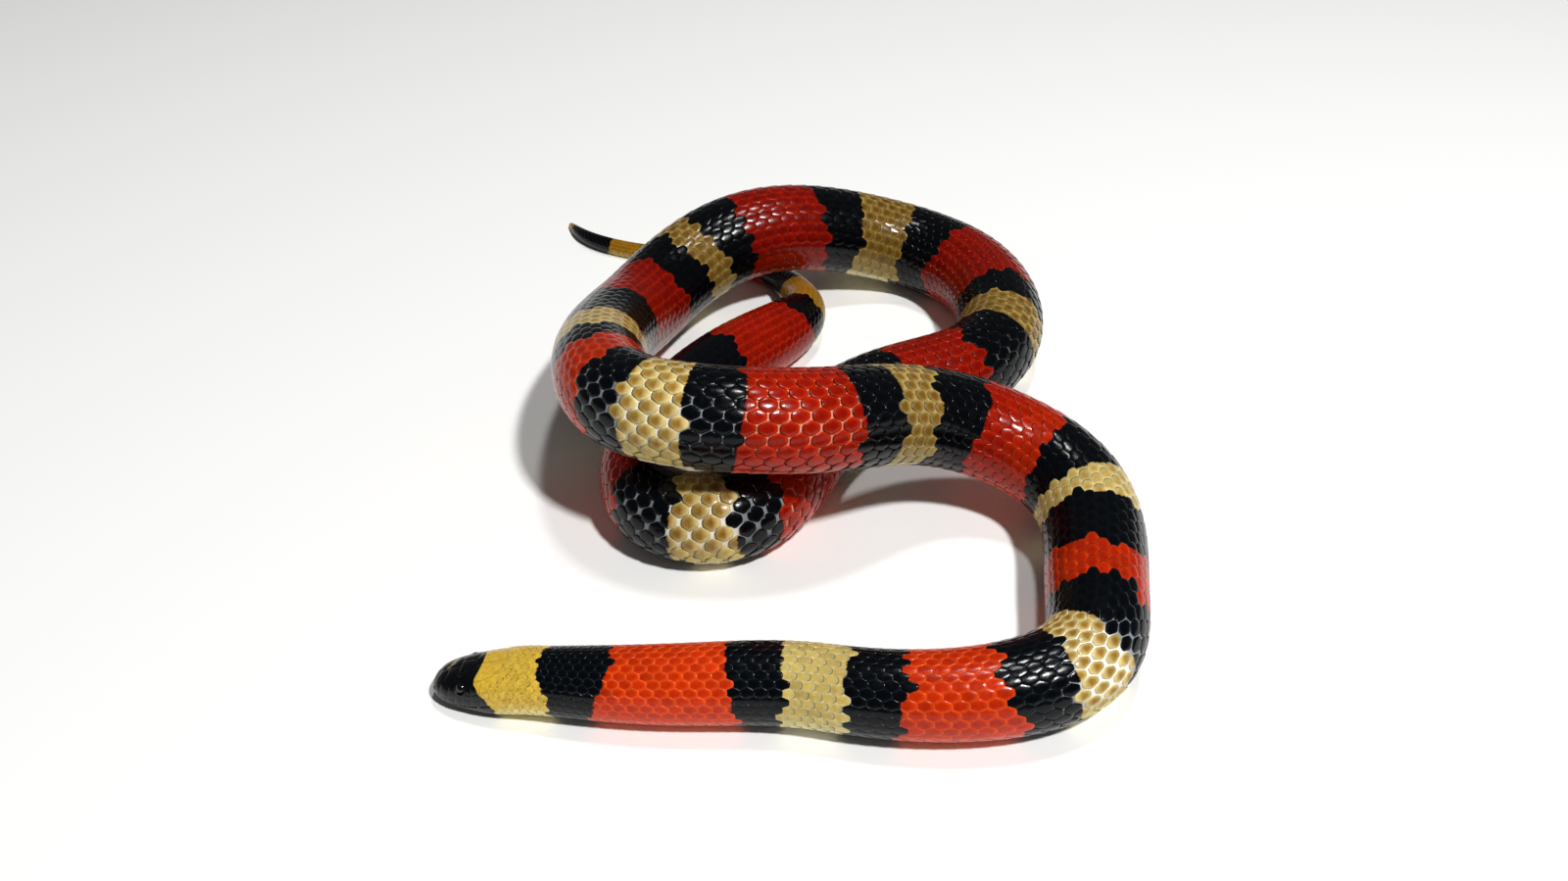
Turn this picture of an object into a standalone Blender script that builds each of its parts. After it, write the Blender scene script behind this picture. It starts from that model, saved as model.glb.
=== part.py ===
"""A coiled ringed milk snake, life size, as closed solids: a head with its jaw and eyes, a neck, a trunk in
lengths and a tail. The body lies on the floor in an open coil and twice climbs over itself.

Lengths in the tables are in millimetres, and every vertex is scaled to metres as it is laid in place.
"Along" is always measured from the tip of the snout, down the middle of the body.
"""

import math

import bmesh
import bpy
import numpy as np
from mathutils import Matrix, Vector

MM = 0.001

# --- the pose: where the middle of the body runs over the floor, head to tail -----------------------------
ROUTE = (
    # head, neck and front of the trunk, lying nearly straight
    (-69.1, -86.05),
    (-22.0, -91.5),
    (0.5, -92.0),
    (11.5, -94.0),
    # round the right-hand corner and away
    (55.0, -83.5),
    (58.5, -68.5),
    (58.0, -38.0),
    (54.5, -33.5),
    # left again, climbing over the loop that lies behind
    (30.5, -27.5),
    (2.5, -41.5),
    (-35.5, -35.0),
    # down the left side
    (-43.0, -17.5),
    (-43.0, 19.0),
    # the back arc
    (-30.5, 48.0),
    (3.0, 67.0),
    (34.5, 68.5),
    (49.0, 52.0),
    (43.5, 14.0),
    # forward under the climbing stretch
    (22.5, 3.0),
    (5.0, -14.5),
    # the tight loop in the middle
    (-4.5, -34.5),
    (-15.0, -44.5),
    (-27.5, -43.0),
    (-34.0, -32.5),
    (-33.5, -16.0),
    # back under the climbing stretch, and the inner curl
    (-15.5, 18.0),
    (1.5, 43.0),
    # the tail, which slips out under the back arc
    (-6.0, 68.0),
    (-62.0, 95.5),
    (-66.5, 104.0),
)

MIDDLE = (0.96, 0.21)  # where the middle of the whole coil falls in the route's own numbers

# Each climb over another length of the body: along, height, run up to it, run down from it.
CLIMBS = (
    (259.0, 23.4, 108.0, 116.0),
    (393.0, 8.9, 51.0, 53.0),
)

# Half the body's thickness: along, radius.
GIRTH = (
    (20.0, 6.4),
    (40.0, 7.4),
    (75.0, 8.1),
    (110.0, 9.0),
    (150.0, 10.4),
    (190.0, 10.6),
    (230.0, 10.9),
    (280.0, 10.7),
    (330.0, 10.8),
    (380.0, 11.5),
    (430.0, 11.2),
    (480.0, 10.8),
    (530.0, 10.1),
    (580.0, 10.2),
    (620.0, 8.9),
    (660.0, 8.8),
    (690.0, 7.6),
    (705.0, 5.5),
    (722.0, 3.8),
    (745.0, 2.8),
    (770.0, 2.3),
    (790.0, 1.7),
    (799.0, 0.6),
)
FLAT_BELLY = 0.96  # the belly is cut flat at this part of the radius below the middle

# The head: along, half width, height of the crown, height of the chin, all over the floor it rests on.
HEAD = (
    (0.0, 0.9, 3.6, 2.3),
    (0.4, 2.1, 4.4, 1.8),
    (1.2, 3.2, 5.3, 1.2),
    (2.6, 4.2, 6.2, 0.7),
    (4.5, 5.0, 7.1, 0.4),
    (6.5, 5.5, 7.9, 0.2),
    (9.0, 5.9, 8.8, 0.1),
    (12.0, 6.3, 9.9, 0.0),
    (15.0, 6.4, 10.9, 0.0),
    (18.0, 6.4, 11.8, 0.0),
    (22.0, 6.5, 12.7, 0.0),
)
HEAD_SQUARE = 2.5  # how square the head is across, where 2 is round
WIDEST = 0.45  # the head is widest this far up from chin to crown
NECK_BLEND = (12.0, 24.0)  # the head's section turns into the body's between these

# --- the lengths that the body is parted into ----------------------------------------------------------------
CUT = 0.3  # the width of a cut between two lengths
NECK_START = 17.0
TRUNK_START = 42.0
VENT = 704.0
TRUNK_LENGTHS = 17
TAIL_CUTS = (VENT, 738.0, 772.0)
SIDES = 20
STEP = 6.2  # the most between two rings of vertices
HEAD_SIDES = 32
HEAD_STEP = 0.9

# --- mouth and eyes, along and over the floor ------------------------------------------------------------
MOUTH = ((-1.0, 1.9), (0.6, 2.0), (3.0, 2.1), (6.0, 2.4), (9.0, 3.0), (11.5, 3.9), (12.9, 4.3))
JAW_BACK = 13.3
EYE_ALONG = 7.1
EYE_HEIGHT = 6.0
EYE_OUT = 4.45
EYE_RADIUS = 1.15
EYE_SIDES = 16


def natural_spline(at, values):
    """The smooth curve through values given at increasing places, straight at its two ends."""
    at = np.asarray(at, float)
    values = np.asarray(values, float)
    gap = np.diff(at)
    slope = (np.diff(values, axis=0).T / gap).T
    count = len(at)
    table = np.eye(count)
    right = np.zeros_like(values)
    for i in range(1, count - 1):
        table[i, i - 1 : i + 2] = gap[i - 1], 2 * (gap[i - 1] + gap[i]), gap[i]
        right[i] = 6 * (slope[i] - slope[i - 1])
    bend = np.linalg.solve(table, right)

    def curve(place):
        i = int(np.clip(np.searchsorted(at, place) - 1, 0, count - 2))
        ahead = (place - at[i]) / gap[i]
        behind = 1 - ahead
        straight = behind * values[i] + ahead * values[i + 1]
        bow = (behind**3 - behind) * bend[i] + (ahead**3 - ahead) * bend[i + 1]
        return straight + bow * gap[i] ** 2 / 6

    return curve


def measured_route(points, pieces=1600):
    """The route as a curve, with a table of how far along each of its places is."""
    hops = np.linalg.norm(np.diff(points, axis=0), axis=1)
    knots = np.concatenate([[0], np.cumsum(hops)])
    curve = natural_spline(knots, points)
    places = np.linspace(0, knots[-1], pieces + 1)
    laid = np.array([curve(place) for place in places])
    along = np.concatenate([[0], np.cumsum(np.linalg.norm(np.diff(laid, axis=0), axis=1))])
    return curve, places, along


route_curve, route_places, route_along = measured_route(np.array(ROUTE) - MIDDLE)
LENGTH = float(route_along[-1])
girth_curve = natural_spline(*np.array(GIRTH).T)
head_roots = np.sqrt(np.array(HEAD)[:, 0])
head_curve = natural_spline(head_roots, np.array(HEAD)[:, 1:])


def eased(value, low, high):
    """0 below low, 1 above high, and smooth between."""
    part = min(max((value - low) / (high - low), 0), 1)
    return part * part * (3 - 2 * part)


def lift(along):
    """How high the belly is over the floor."""
    height = 0.0
    for middle, top, run_up, run_down in CLIMBS:
        run = run_up if along < middle else run_down
        part = min(abs(along - middle) / run, 1)
        height += top * math.cos(part * math.pi / 2) ** 2
    return height


def outline(along):
    """The section's half width, how far its middle is over the belly, its reach up, and how square it is."""
    radius = float(girth_curve(min(along, GIRTH[-1][0])))
    body = [radius, FLAT_BELLY * radius, radius, 2.0]
    if along >= NECK_BLEND[1]:
        return body, 0.0
    half_width, crown, chin = head_curve(math.sqrt(max(along, 0))).tolist()
    middle = chin + WIDEST * (crown - chin)
    head = [half_width, middle, crown - middle, HEAD_SQUARE]
    share = eased(along, *NECK_BLEND)
    return [a + share * (b - a) for a, b in zip(head, body)], chin * (1 - share)


def middle_of(along):
    """The middle of the section at this place."""
    place = np.interp(along, route_along, route_places)
    x, y = route_curve(place)
    (_, middle, _, _), _ = outline(along)
    return Vector((x, y, lift(along) + middle))


def axes_of(along, reach=0.5):
    """Which way the animal's left and its back point here. The back leans as the body climbs."""
    near = max(along - reach, 0)
    far = min(along + reach, LENGTH)
    forward = (middle_of(near) - middle_of(far)).normalized()
    if along < NECK_BLEND[1]:
        forward = Vector((forward.x, forward.y, 0)).normalized()
    left = Vector((0, 0, 1)).cross(forward).normalized()
    return left, forward.cross(left)


def on_body(along, angle):
    """The point on the body at this place, angle being 0 along the back and half a turn at the belly."""
    (half_width, middle, reach_up, square), chin = outline(along)
    left, back = axes_of(along)
    power = 2 / square
    side = half_width * math.copysign(abs(math.sin(angle)) ** power, math.sin(angle))
    reach = reach_up if math.cos(angle) > 0 else (middle - chin) / FLAT_BELLY
    up = reach * math.copysign(abs(math.cos(angle)) ** power, math.cos(angle))
    up = max(up, chin - middle)
    point = middle_of(along) + side * left + up * back
    point.z = max(point.z, 0)
    return point * MM


def bar(first, last, sides, step):
    """A straight bar ringed with cuts, then laid along the body so that it takes the body's shape."""
    mesh = bmesh.new()
    turn = Matrix.Rotation(math.pi / sides, 4, "Z")
    bmesh.ops.create_cone(mesh, cap_ends=True, segments=sides, radius1=1, radius2=1, depth=1, matrix=turn)
    count = max(1, math.ceil((last - first) / step))
    for ring in range(1, count):
        bmesh.ops.bisect_plane(
            mesh,
            geom=mesh.verts[:] + mesh.edges[:] + mesh.faces[:],
            plane_co=(0, 0, ring / count - 0.5),
            plane_no=(0, 0, 1),
        )
    for vertex in mesh.verts:
        along = first + (vertex.co.z + 0.5) * (last - first)
        vertex.co = on_body(along, math.atan2(-vertex.co.x, vertex.co.y))
    return mesh


def prism(outline_points, half_width):
    """A block with this outline seen from the side of the head, as wide as given."""
    mesh = bmesh.new()
    left, back = axes_of(0)
    start = middle_of(0)
    ahead = left.cross(back)
    verts = []
    for along, height in outline_points:
        spot = Vector((start.x, start.y, height)) - ahead * along + left * half_width
        verts.append(mesh.verts.new(spot * MM))
    face = mesh.faces.new(verts)
    grown = bmesh.ops.extrude_face_region(mesh, geom=[face])
    moved = [item for item in grown["geom"] if isinstance(item, bmesh.types.BMVert)]
    bmesh.ops.translate(mesh, verts=moved, vec=left * (-2 * half_width * MM))
    bmesh.ops.recalc_face_normals(mesh, faces=mesh.faces[:])
    return mesh


def jaw_block(grow):
    """All that lies under the line of the mouth, grown upwards and backwards by this much."""
    upper = [(along, height + grow) for along, height in MOUTH]
    upper[-1] = (JAW_BACK + grow, MOUTH[-1][1] + grow)
    below = [(JAW_BACK + grow, -2.0), (MOUTH[0][0], -2.0)]
    return prism(upper + below, 9.0)


def eyeball(side, radius):
    """A ball at the eye, side being 1 for the animal's left and -1 for its right."""
    mesh = bmesh.new()
    left, _ = axes_of(EYE_ALONG)
    spot = middle_of(EYE_ALONG)
    spot = Vector((spot.x, spot.y, EYE_HEIGHT)) + left * (side * EYE_OUT)
    place = Matrix.Translation(spot * MM) @ Matrix.Rotation(math.pi / 2, 4, "X")
    bmesh.ops.create_uvsphere(
        mesh, u_segments=EYE_SIDES, v_segments=EYE_SIDES // 2, radius=radius * MM, matrix=place
    )
    return mesh


def finish(name, colour, roughness, coat):
    """A painted finish."""
    material = bpy.data.materials.new(name)
    material.use_nodes = True
    shader = material.node_tree.nodes["Principled BSDF"]
    shader.inputs["Base Color"].default_value = (*colour, 1)
    shader.inputs["Roughness"].default_value = roughness
    shader.inputs["Metallic"].default_value = 0
    shader.inputs["Coat Weight"].default_value = coat
    return material


def add(name, mesh, material):
    """A named object made of this mesh."""
    data = bpy.data.meshes.new(name)
    mesh.to_mesh(data)
    mesh.free()
    data.materials.append(material)
    item = bpy.data.objects.new(name, data)
    bpy.context.scene.collection.objects.link(item)
    return item


def add_cutter(name, mesh, material):
    """An object that only cuts others."""
    item = add(name, mesh, material)
    item.hide_render = True
    item.display_type = "WIRE"
    return item


def cut_with(item, cutter, operation):
    """A live Boolean on the item."""
    boolean = item.modifiers.new(cutter.name, "BOOLEAN")
    boolean.object = cutter
    boolean.operation = operation
    boolean.solver = "EXACT"


def build_head(black, eye_black):
    head = add("head", bar(0, NECK_START - CUT, HEAD_SIDES, HEAD_STEP), black)
    jaw = add("lower_jaw", bar(0, NECK_START - CUT, HEAD_SIDES, HEAD_STEP), black)
    cut_with(head, add_cutter("mouth_cutter", jaw_block(CUT), black), "DIFFERENCE")
    cut_with(jaw, add_cutter("jaw_keeper", jaw_block(0), black), "INTERSECT")
    for side, name in ((1, "left"), (-1, "right")):
        add(f"eye_{name}", eyeball(side, EYE_RADIUS), eye_black)
        socket = add_cutter(f"socket_{name}", eyeball(side, EYE_RADIUS + CUT), black)
        cut_with(head, socket, "DIFFERENCE")


def build_lengths(names, cuts, material):
    """One solid between each two cuts, with a cut's width left open between neighbours."""
    for name, first, last in zip(names, cuts, cuts[1:]):
        add(name, bar(first, last - CUT, SIDES, STEP), material)


def build():
    for item in list(bpy.data.objects):
        bpy.data.objects.remove(item)
    black = finish("black_head_shields", (0.012, 0.014, 0.020), 0.3, 0.5)
    eye_black = finish("dark_eye", (0.010, 0.008, 0.008), 0.1, 1.0)
    yellow = finish("yellow_collar_scales", (0.66, 0.48, 0.10), 0.35, 0.4)
    red = finish("red_scales", (0.62, 0.060, 0.018), 0.35, 0.4)
    tan = finish("tan_scales", (0.52, 0.38, 0.19), 0.35, 0.4)
    build_head(black, eye_black)
    build_lengths(["neck"], (NECK_START, TRUNK_START), yellow)
    trunk_cuts = np.linspace(TRUNK_START, VENT, TRUNK_LENGTHS + 1)
    trunk_names = [f"trunk_{number:02d}" for number in range(1, TRUNK_LENGTHS + 1)]
    build_lengths(trunk_names, trunk_cuts, red)
    build_lengths(("tail_base", "tail_middle", "tail_tip"), (*TAIL_CUTS, LENGTH), tan)


build()
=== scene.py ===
"""A coiled ringed milk snake, life size: one skin from the snout to the tip of the tail, smooth overlapping
scales and broad belly plates laid over it, horny shields in relief on the head, and glossy eyes.

Lengths are in millimetres until a vertex is laid in place, where they turn to metres. "Along" is measured
down the middle of the body from the tip of the snout. "Angle" goes round the body in radians, from 0 on the
back to half a turn at the belly, positive on the animal's left, and "turn" is the same without a sign.
"Rise" is how far a point stands out from the outline of the solids: the skin lies below it, and the scales
reach up to it. Scales lie in rings round the body and in rows down the body.
"""

import math

import bmesh
import bpy
import numpy as np
from mathutils import Matrix, Vector
from mathutils.kdtree import KDTree


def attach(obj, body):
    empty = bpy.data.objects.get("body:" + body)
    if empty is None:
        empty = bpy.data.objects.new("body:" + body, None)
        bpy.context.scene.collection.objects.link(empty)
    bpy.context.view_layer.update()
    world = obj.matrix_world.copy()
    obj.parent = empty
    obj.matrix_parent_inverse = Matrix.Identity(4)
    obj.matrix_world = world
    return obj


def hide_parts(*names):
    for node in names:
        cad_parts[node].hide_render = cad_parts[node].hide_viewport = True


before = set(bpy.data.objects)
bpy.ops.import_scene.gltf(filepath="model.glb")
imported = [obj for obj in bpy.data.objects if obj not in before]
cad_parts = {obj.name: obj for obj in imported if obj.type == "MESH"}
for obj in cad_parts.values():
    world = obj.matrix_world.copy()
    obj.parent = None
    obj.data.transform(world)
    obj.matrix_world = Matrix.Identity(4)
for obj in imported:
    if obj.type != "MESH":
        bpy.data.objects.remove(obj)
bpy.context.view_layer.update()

MM = 0.001
BODY = "root"

# --- the pose: where the middle of the body runs over the floor, head to tail ---
ROUTE = (
    # head, neck and front of the trunk, lying nearly straight
    *((-69.1, -86.05), (-22, -91.5), (0.5, -92), (11.5, -94)),
    # round the right-hand corner and away
    *((55, -83.5), (58.5, -68.5), (58, -38), (54.5, -33.5)),
    # left again, climbing over the loop that lies behind
    *((30.5, -27.5), (2.5, -41.5), (-35.5, -35)),
    # down the left side
    *((-43, -17.5), (-43, 19)),
    # the back arc
    *((-30.5, 48), (3, 67), (34.5, 68.5), (49, 52), (43.5, 14)),
    # forward under the climbing stretch
    *((22.5, 3), (5, -14.5)),
    # the tight loop in the middle
    *((-4.5, -34.5), (-15, -44.5), (-27.5, -43), (-34, -32.5), (-33.5, -16)),
    # back under the climbing stretch, and the inner curl
    *((-15.5, 18), (1.5, 43)),
    # the tail, which slips out under the back arc
    *((-6, 68), (-62, 95.5), (-66.5, 104)),
)
MIDDLE = (0.96, 0.21)  # where the middle of the whole coil falls in the route's own numbers
ROUTE_STEPS = 1601  # places at which the route's length is measured

# Each climb over another length of the body: along, height, run up to it, run down from it.
CLIMBS = (
    (259, 23.4, 108, 116),
    (393, 8.9, 51, 53),
)

# Half the body's thickness: along, radius.
GIRTH = (
    *((20, 6.4), (40, 7.4), (75, 8.1), (110, 9), (150, 10.4), (190, 10.6), (230, 10.9)),
    *((280, 10.7), (330, 10.8), (380, 11.5), (430, 11.2), (480, 10.8), (530, 10.1)),
    *((580, 10.2), (620, 8.9), (660, 8.8), (690, 7.6), (705, 5.5), (722, 3.8), (745, 2.8)),
    *((770, 2.3), (790, 1.7), (799, 0.6)),
)
FLAT_BELLY = 0.96  # the belly is flat at this part of the radius below the middle

# The head: along, half width, height of the crown, height of the chin, all over the floor it rests on.
HEAD = (
    (0, 0.9, 3.6, 2.3),
    (0.4, 2.1, 4.4, 1.8),
    (1.2, 3.2, 5.3, 1.2),
    (2.6, 4.2, 6.2, 0.7),
    (4.5, 5, 7.1, 0.4),
    (6.5, 5.5, 7.9, 0.2),
    (9, 5.9, 8.8, 0.1),
    (12, 6.3, 9.9, 0),
    (15, 6.4, 10.9, 0),
    (18, 6.4, 11.8, 0),
    (22, 6.5, 12.7, 0),
)
HEAD_BEYOND = 26.0  # the head's curve is read up to here
HEAD_SQUARE = 2.5  # how square the head is across, where 2 is round
WIDEST = 0.45  # the head is widest this far up from chin to crown
NECK_BLEND = (12.0, 24.0)  # the head's section turns into the body's between these
VENT = 704.0

# --- the head's shields: the seams between them, on the left side and mirrored to the right ---
MOUTH = ((0.25, 2), (3, 2.1), (6, 2.4), (9, 3), (11.5, 3.9), (12.9, 4.3))  # along, height
# Seen from above: along, distance from the middle of the crown.
CROWN_SEAMS = (
    ((1.5, 0), (5.7, 0)),  # between the internasals and between the prefrontals
    ((1.5, 0), (1.3, 1), (0.8, 1.9)),  # top of the rostral
    ((3.3, 0), (3.4, 1.3), (3.1, 2.8)),  # internasal to prefrontal
    ((0.8, 1.9), (3.1, 2.9), (5.2, 3.8)),  # brow line over the nasal and the loreal
    ((5.7, 0), (5.7, 1.5), (5.2, 3.8)),  # back of the prefrontal
    ((5.7, 1.5), (8.4, 1.35), (10.1, 0)),  # side of the frontal
    ((8.4, 1.35), (8.8, 2.6), (8.7, 4)),  # supraocular to parietal
    ((10.1, 0), (14.8, 0)),  # between the parietals
    # outer edge of the parietal
    ((8.7, 4), (10.8, 4.2), (13, 3.7), (14.6, 2.2), (15.1, 0.7), (14.8, 0)),
)
# Seen from the side: along, height over the floor.
CHEEK_SEAMS = (
    ((0.8, 3), (3.5, 3.5), (6, 4.3)),  # top of the upper lip shields, before the eye
    ((8.2, 4.8), (9.6, 5.1), (11.2, 5.7), (12.9, 6.3), (13.8, 5.3)),  # and behind it
    ((2.4, 3.4), (2.5, 5.1)),  # nasal to loreal
    ((4.3, 3.8), (4.5, 5.7)),  # loreal to preocular
    ((9.2, 5), (9.4, 6), (9, 7.3)),  # back of the postoculars
    ((8.3, 5.9), (9.4, 6)),  # between the two postoculars
    ((11, 5.6), (11.2, 8.4)),  # first temporals to second
    ((12.9, 6.3), (13, 8.8)),  # second temporals to third
    ((9.4, 6), (11.1, 6.9), (13, 7.7), (14.6, 8.5)),  # upper temporals over lower
    ((1.2, 1.35), (4, 1.1), (8, 1.6), (12, 2.8), (13.6, 3.4)),  # foot of the lower lip shields
)
# Seen from below: along, distance from the middle of the chin.
CHIN_SEAMS = (
    ((1.3, 0), (9.2, 0)),  # chin groove
    ((1.3, 0), (1.2, 1.5)),  # back of the mental
    ((1.2, 1.5), (3.2, 2.1), (5, 2.2), (5.1, 0)),  # front chin shields
    ((5, 2.2), (7.4, 2.3), (9, 1.4), (9.2, 0)),  # back chin shields
)
UPPER_LIP_CUTS = (1.1, 2.4, 3.9, 5.6, 7.2, 9, 11)
LOWER_LIP_CUTS = (1, 2.1, 3.3, 4.9, 6.5, 8.4, 10.5, 12.1)
LIP_LEAN = 0.3  # how far the cuts lean back from the lip to their other end
SEAM_DEPTH = 0.055
SEAM_WIDTH = 0.10
SEAM_SHADE = 0.4  # how much darker the bottom of a seam is
SEAM_STEP = 0.08  # distance between two points of a seam
LIP_DEPTH = 0.24
LIP_WIDTH = 0.15
SHIELD_DOME = 0.05  # how far a shield swells between its seams
DOME_REACH = 0.6  # and how far from a seam the swelling is full
SHIELDS_END = (14.8, 15.8)  # the relief of the shields fades out between these
HORN_UNDER = 1.1  # the horn runs on this far under the first loose scales

EYE_ALONG = 7.1
EYE_HEIGHT = 6.0
EYE_OUT = 4.45
EYE_RADIUS = 1.15
EYE_GRID = (40, 24)
EYE_TILT = 0.35  # the eye looks a little upwards
EYE_SUNK = 0.5  # how much deeper the eye sits in its lids
EYE_OPENING = 0.84  # the lids open this share of the eyeball
LID_RISE = 0.1
LID_WIDTH = 0.17
LID_RADIUS = 1.1  # in openings
LID_CLEAR = (1.15, 1.6)  # the relief of the shields fades out between these round the lids, in openings
SOCKET_DEPTH = 0.7
SOCKET_FLOOR = 0.76  # the socket is that deep within this share of the opening
SOCKET_REACH = 1.5  # it dents the skin no farther than this behind the middle of the eye
PUPIL = (0.5, 0.55)  # shares of the eyeball's radius where the pupil turns into the iris
IRIS_EDGE = (0.72, 0.84)
NOSTRIL = (0.95, 3.75)  # along, height
NOSTRIL_RADIUS = 0.26
NOSTRIL_DEPTH = 0.34
NOSTRIL_RIM = (0.05, 1.5, 0.12)  # height of the raised rim, its radius in nostrils, its width
# Pale marks on the black of the head: along, angle in degrees, radius, colour.
HEAD_MARKS = (
    (3.7, -12, 0.72, "#8E8650"),
    (4.2, -21, 0.60, "#8E8650"),
    (3.1, -2, 0.52, "#7A7248"),
    (5.9, 8, 0.13, "#5E6664"),
    (6.4, 24, 0.11, "#5E6664"),
    (1.4, 96, 0.16, "#9A9C92"),
    (1.4, -96, 0.16, "#9A9C92"),
    (8.2, 101, 0.2, "#8D8F86"),
    (10.6, 97, 0.22, "#A39C78"),
    (9.4, -99, 0.2, "#8D8F86"),
)
MARK_FADE = (0.6, 1.25)  # shares of its radius between which a mark fades out
MARK_STRENGTH = 0.85

# --- the skin: one grid wrapped round the body, four times finer on the head ---
SKIN_SIDES = 80
HEAD_RING = 0.36  # between the grid's rings on the head, before it is made finer
BODY_RING = 1.6
FINE_END = 16.2
FINE_CUTS = 3  # cuts across each edge of the grid on the head
LAST_RINGS = (1.2, 0.8, 0.4, 0.15, 0.0)  # before the tip of the tail
LAST_GAP = 0.5  # the other rings stay this far before them
WELD = 0.002  # vertices nearer than this are joined
STATION_GAP = 0.2  # between the places where the body's section is worked out
NOSE_ROUND = 0.4  # the skin rounds off over this length at the snout
SPINE_ROUND = 1.2  # and at the tip of the tail
COAT_DEPTH = (0.05, 0.024)  # how deep the skin lies: at least, and for each millimetre of radius
HEAD_COAT = 0.45  # share of that depth on the head
COAT_GROWS = (9.0, 18.0)  # where it grows to the whole
STRIPS = 4  # the map is cut into this many strips, laid side by side
MAP_FILL = (0.98, 0.96)  # how much of a strip is used, lengthwise and crosswise
MAP_EDGE = 0.98  # plates across the map's edge are put at this share of half a turn
PATCH = 0.003  # size of one scale on the map

# --- the scales ---
# Distance between two rings of scales: along, distance.
PITCHES = (
    *((0, 1.255), (12, 1.3), (22, 1.6), (30, 2), (42, 2.5), (60, 2.6), (80, 2.7), (105, 2.95)),
    *((118, 3.15), (150, 3.3), (240, 3.4), (380, 3.55), (530, 3.15), (620, 2.8), (665, 2.7)),
    *((700, 2.1), (720, 1.9), (772, 1.9), (799, 1.2)),
)
# Angle between two rows: along, angle. From flank to flank this makes 23 rows right behind the head, then
# 21, 19 and 17.
ROW_GAPS = ((20, 0.187), (34, 0.2139), (90, 0.2139), (200, 0.2355), (480, 0.2355), (555, 0.27), (799, 0.27))
THIN_GAP = 0.59  # but never under this share of the rings' distance, so that the tail has fewer
ROW_SPREAD = (0.93, 0.0007)  # rows lie closer along the back than on the flanks
COAT_EDGE = 2.246  # angle of the flank where the belly plates begin
SCALE_LENGTH = 1.17  # in rings
SCALE_WIDTH = 1.38  # in row gaps
# How large the scales are against that: along, share. Where bends and the thick middle of the body stretch
# the skin it shows between them; elsewhere they overlap.
PACKING = (
    *((106, 1.2), (114, 1.04), (118, 0.93), (126, 0.93), (131, 1.08), (150, 1.1), (165, 1.13), (205, 1.1)),
    *((232, 1.03), (290, 1.03), (310, 1.08), (420, 1.12), (520, 1.12), (566, 1.1), (612, 1.1), (640, 1.08)),
    (800, 1.15),
)
SIZE_SPREAD = 0.025  # from one scale to the next
TIGHTEST = 0.8  # the coat is squeezed no more than this on the inside of a bend
LOOSEST = 1.9  # and stretched no more than this on the outside
# Where the loose scales begin behind the head's shields: angle in degrees, along.
COAT_START = (
    *((20, 15), (32, 14.2), (45, 12.9), (80, 12.9), (95, 14), (110, 13.6), (130, 11.8), (150, 9.9)),
    (180, 9.6),
)
COAT_MARGIN = 0.4  # the middle of the first scale lies at least this far behind it
FIRST_RING = 9.0  # where the search for scales starts
ROWS = 21  # and how many rows it tries on each side of the back
THROAT_END = 18.5  # loose scales go all the way round before this place, and plates begin behind it
BARE_HALF_RINGS = 3  # left without scales at the tip of the tail
BARE_RINGS = 2  # and without plates
COAT_PIECES = 4  # the scales are joined in this many pieces
SCALE_PLAN = ((-0.5, 0.2), (0.0, 0.5), (0.5, 0.2), (0.5, -0.2), (0.0, -0.5), (-0.5, -0.2))  # length, width
SCALE_CORNER = 0.08  # cut off its corners
SCALE_RINGS = (1.0, 0.84, 0.5)  # the rim of a scale and the rings inside it, as shares of its plan
SCALE_DOME = (0.0, 0.2, 0.34, 0.38)  # rise of these and of the centre, in coat depths
SCALE_INK = (0.0, 0.5, 0.95, 1.0)  # how much of the centre's colour they have
SCALE_TILT = (0.05, 0.62)  # rise of the front edge, and from there to the free back edge
SCALE_FOOT = 0.93  # the foot of a scale is this share of its plan
FOOT_RISE = -0.1  # it goes this deep into the skin, in coat depths
PLATE_LENGTH = 1.3  # in rings
PLATE_GRID = (4, 16)
PLATE_TILT = (0.15, 0.65)
PLATE_ENDS = 0.3  # how much shorter a plate is at its two ends
PLATE_BOW = 0.02  # how much narrower it is at its front and back
PLATE_FOOT = (0.97, 0.99)  # its foot as a share of its length and width
PLATE_TUCK = 0.06  # it runs on by this angle under the scales
PLATE_LAP = 0.03  # and by this one under its neighbour, where plates are paired

# --- the rings of colour, counted in rings of scales: head and collar, then group after group ---
HEAD_RINGS = (("black", 8), ("collar", 8), ("black", 7))
GROUP = ("red", "black", "cream", "black")
BODY_RINGS = (
    *((8.5, 4, 4.5, 4), (5.5, 4, 3, 3.5), (3, 4.5, 2.5, 3.5), (5, 4, 3, 3)),
    *((5.5, 3, 3, 3), (3, 2.5, 3.5, 5.5), (6, 3.5, 2.5, 3), (5.5, 3.5, 4.5, 5)),
    *((7, 3, 3, 4), (6, 4, 3, 4.5), (6, 3, 3, 4), (6, 3.5, 3.5, 7.5)),
    *((9, 4, 8.5, 8), (6.5, 7, 11.5, 11.5)),
)
GOLD_BEHIND = 690.0  # the pale rings of the tail are golden
RED_FLARE = (1.4, 4.2)  # a red ring grows by a length between these at each end
FLARE_TURNS = (0.4, 2.0)  # from the first of these angles to the second
CHEEK_SWING = 0.55  # how far forward the collar comes behind the eye
CHEEK_TURN = 0.65  # at this angle
CHEEK_WIDTH = 0.3
CHEEK_LOBES = 0.35  # how deeply its edge is scalloped
LOBE_TURNS = (0.6, 0.9)
LOBES = 8.0  # in half a turn
LIP_SWEEP = 3.3  # how far back it starts at the lip
LIP_TURNS = (0.9, 1.9)
THROAT_SWEEP = 2.6  # how much further back it ends on the throat
THROAT_TURNS = (0.5, 1.75)
EDGE_BLUR = 0.12  # the colour changes over this length to each side of a ring's edge
EDGE_WOBBLE = 0.5  # and on a scale that line wanders by this
EDGE_RAGGED = 0.13  # how far a scale may be on the wrong side of the edge, in rings of scales
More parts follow.
